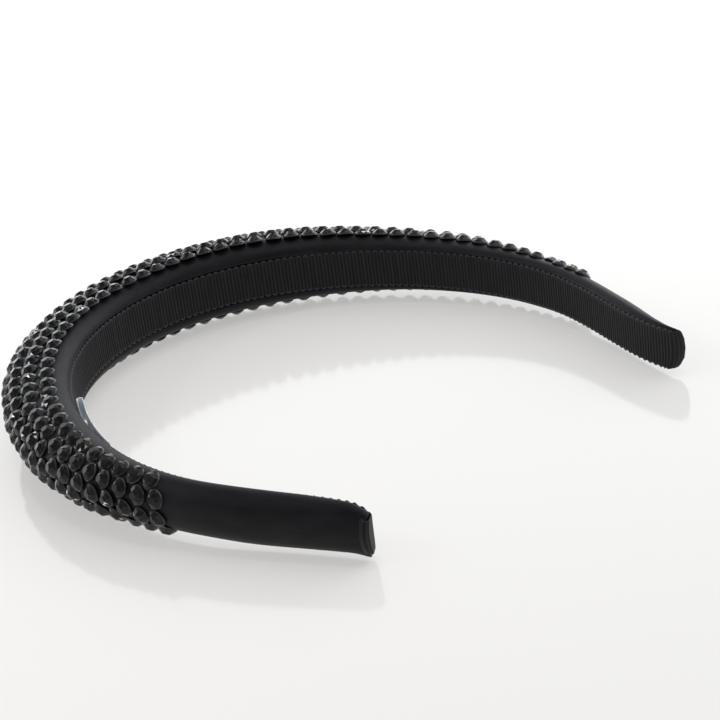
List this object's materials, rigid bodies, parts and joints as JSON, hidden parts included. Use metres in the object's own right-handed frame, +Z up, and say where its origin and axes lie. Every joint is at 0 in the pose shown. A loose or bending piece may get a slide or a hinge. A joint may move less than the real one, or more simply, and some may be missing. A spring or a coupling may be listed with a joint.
{
  "type": "padded headband",
  "caption": "U-shaped padded satin headband, paved with dark faceted crystals over the crown and upper legs, lined with ribbed ribbon, with a blank folded label inside one leg.",
  "frame": {"origin": "the resting surface, under the middle of the box of the band as it lies on its side", "axes": "+Z up, across the band's width; +X along the band's depth, from the crown towards the two ends of the legs; +Y from the shorter leg, which carries the label, towards the longer one"},
  "size_m": [0.1546, 0.1504, 0.0231],
  "materials": {
    "satin": "satin",
    "grosgrain": "ribbed matte",
    "crystal": "polished facets",
    "label_tape": "satin"
  },
  "bodies": {
    "root": {"padded_cover": "satin", "grosgrain_lining": "grosgrain", "crystal_pave": "crystal", "blank_label": "label_tape"}
  },
  "joints": []
}
